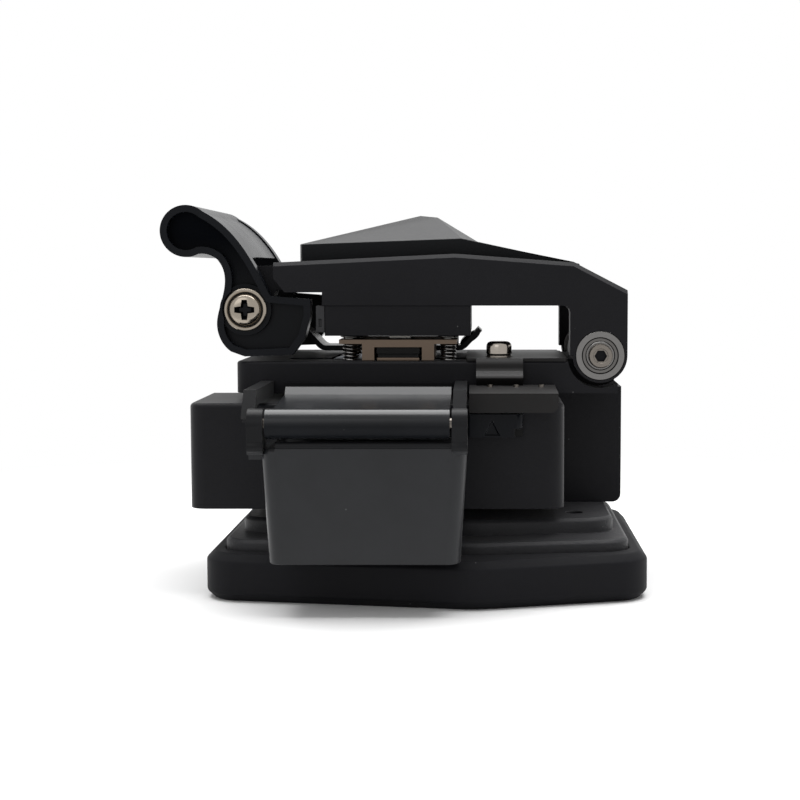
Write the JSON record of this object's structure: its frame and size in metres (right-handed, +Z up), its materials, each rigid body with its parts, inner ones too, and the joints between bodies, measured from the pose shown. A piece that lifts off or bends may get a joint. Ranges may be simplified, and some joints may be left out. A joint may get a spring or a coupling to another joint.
{
  "type": "fibre cleaver",
  "caption": "Bench fibre cleaver: hinged clamp arm with thumb lever over a deck, sliding blade block beneath, scrap bin at one side, stepped base in a rubber boot.",
  "frame": {"origin": "centre of the base's underside, on the surface it rests on", "axes": "+X from the thumb lever to the arm hinge, +Y from the scrap bin to the side where the fibre is laid in, +Z up"},
  "size_m": [0.0879, 0.073, 0.0699],
  "materials": {
    "boot_rubber": "matte",
    "textured_black": "fine texture",
    "painted_black": "satin",
    "gloss_black": "gloss",
    "black_plastic": "satin",
    "bin_plastic": "gloss",
    "light_plastic": "matte",
    "sheet_metal": "satin",
    "steel": "bright",
    "spring_wire": "bright",
    "carbide": "ground",
    "bronze": "satin",
    "brass": "bright",
    "pad_rubber": "matte"
  },
  "bodies": {
    "body": {"base_boot": "boot_rubber", "base_plate": "textured_black", "frame_screws": "steel", "main_frame": "painted_black", "guide_rail": "steel", "rail_screws": "steel", "deck_plate": "painted_black", "deck_screws": "steel", "hinge_shaft": "steel", "hinge_screws": "steel", "hinge_spacers": "steel", "lower_clamps": "bronze", "lower_pads": "pad_rubber", "lift_springs": "spring_wire", "fibre_guide": "black_plastic", "collector_plate": "sheet_metal", "shelf_pins": "steel", "locating_pin": "steel", "hanger_pins": "steel", "deck_strip": "bronze"},
    "slider": {"slider_block": "painted_black", "index_tab": "black_plastic"},
    "blade": {"cutting_wheel": "carbide", "blade_hub": "steel", "blade_nut": "steel"},
    "arm": {"arm_casting": "painted_black", "arm_cover": "gloss_black", "arm_bearings": "steel", "clamp_housing": "painted_black", "lever_catch": "light_plastic", "anvil": "steel", "fibre_guard": "black_plastic", "lever_shaft": "steel", "lever_screws": "steel", "lever_spring": "spring_wire", "clamp_springs": "spring_wire"},
    "clamps": {"upper_brackets": "bronze", "upper_pads": "pad_rubber", "clamp_posts": "steel"},
    "lever": {"thumb_lever": "black_plastic"},
    "collector": {"scrap_bin": "bin_plastic", "lid_shaft": "brass"},
    "lid": {"bin_lid": "bin_plastic"}
  },
  "joints": [
    {"name": "arm_hinge", "type": "hinge", "parent": "body", "child": "arm", "pos_m": [0.0314, 0.007, 0.04265], "axis": [0, 1, 0], "range_deg": [0, 70]},
    {"name": "lever_pivot", "type": "hinge", "parent": "arm", "child": "lever", "pos_m": [-0.0332, 0.007, 0.051], "axis": [0, -1, 0], "range_deg": [0, 4], "stiffness_Nm_per_rad": 0.05, "springref_deg": -2.86},
    {"name": "slider_travel", "type": "slide", "parent": "body", "child": "slider", "axis": [1, 0, 0], "range_m": [0, 0.015]},
    {"name": "blade_index", "type": "hinge", "parent": "slider", "child": "blade", "pos_m": [-0.0136, -0.005, 0.03185], "axis": [0, 1, 0], "continuous": true},
    {"name": "collector_pull", "type": "slide", "parent": "body", "child": "collector", "axis": [0, -1, 0], "range_m": [0, 0.02]},
    {"name": "bin_lid", "type": "hinge", "parent": "collector", "child": "lid", "pos_m": [-0.00985, -0.04, 0.0326], "axis": [1, 0, 0], "range_deg": [0, 100]},
    {"name": "clamp_float", "type": "slide", "parent": "arm", "child": "clamps", "axis": [0, 0, 1], "range_m": [0, 0.0005], "stiffness_N_per_m": 2000, "springref_m": -0.002, "deforming": ["clamp_springs"]}
  ]
}
